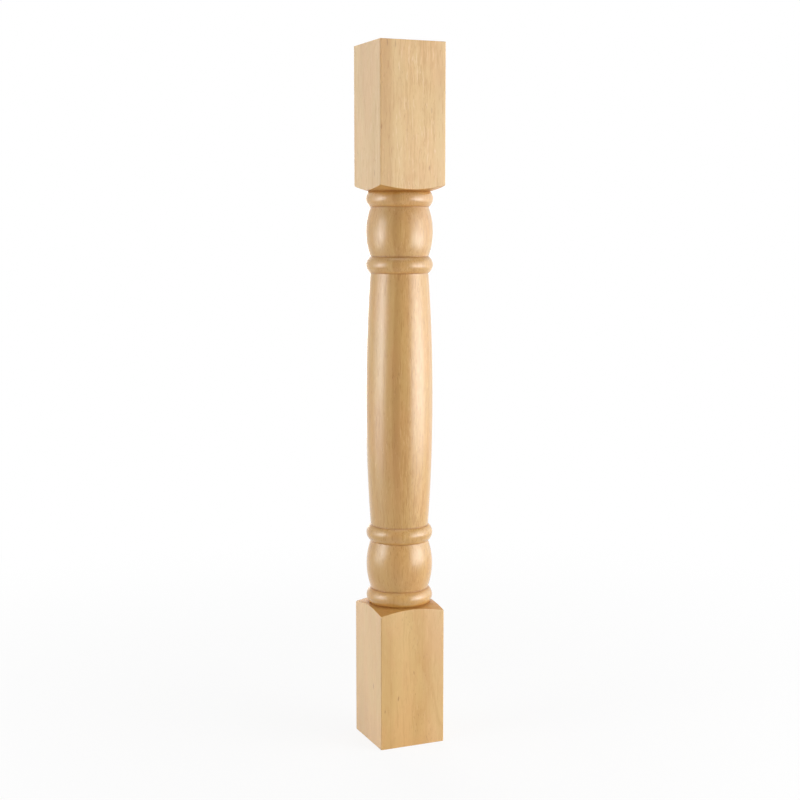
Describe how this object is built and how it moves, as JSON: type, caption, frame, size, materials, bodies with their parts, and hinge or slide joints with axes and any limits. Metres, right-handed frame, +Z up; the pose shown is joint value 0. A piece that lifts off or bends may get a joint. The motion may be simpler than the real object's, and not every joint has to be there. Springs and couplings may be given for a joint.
{
  "type": "newel post",
  "caption": "Turned hardwood newel post with square ends and, between them, beads, round urns and a gently swelling shaft.",
  "frame": {"origin": "middle of the flat foot, on the surface that the post stands on", "axes": "+Z up along the turning axis, +X and +Y square to the flats of the square ends"},
  "size_m": [0.0888, 0.0888, 0.9017],
  "materials": {
    "clear_finished_hardwood": "pale honey-coloured close-grained hardwood, sanded smooth under a clear satin lacquer that shines more on the turned part"
  },
  "bodies": {
    "root": {"post": "clear_finished_hardwood"}
  },
  "joints": []
}
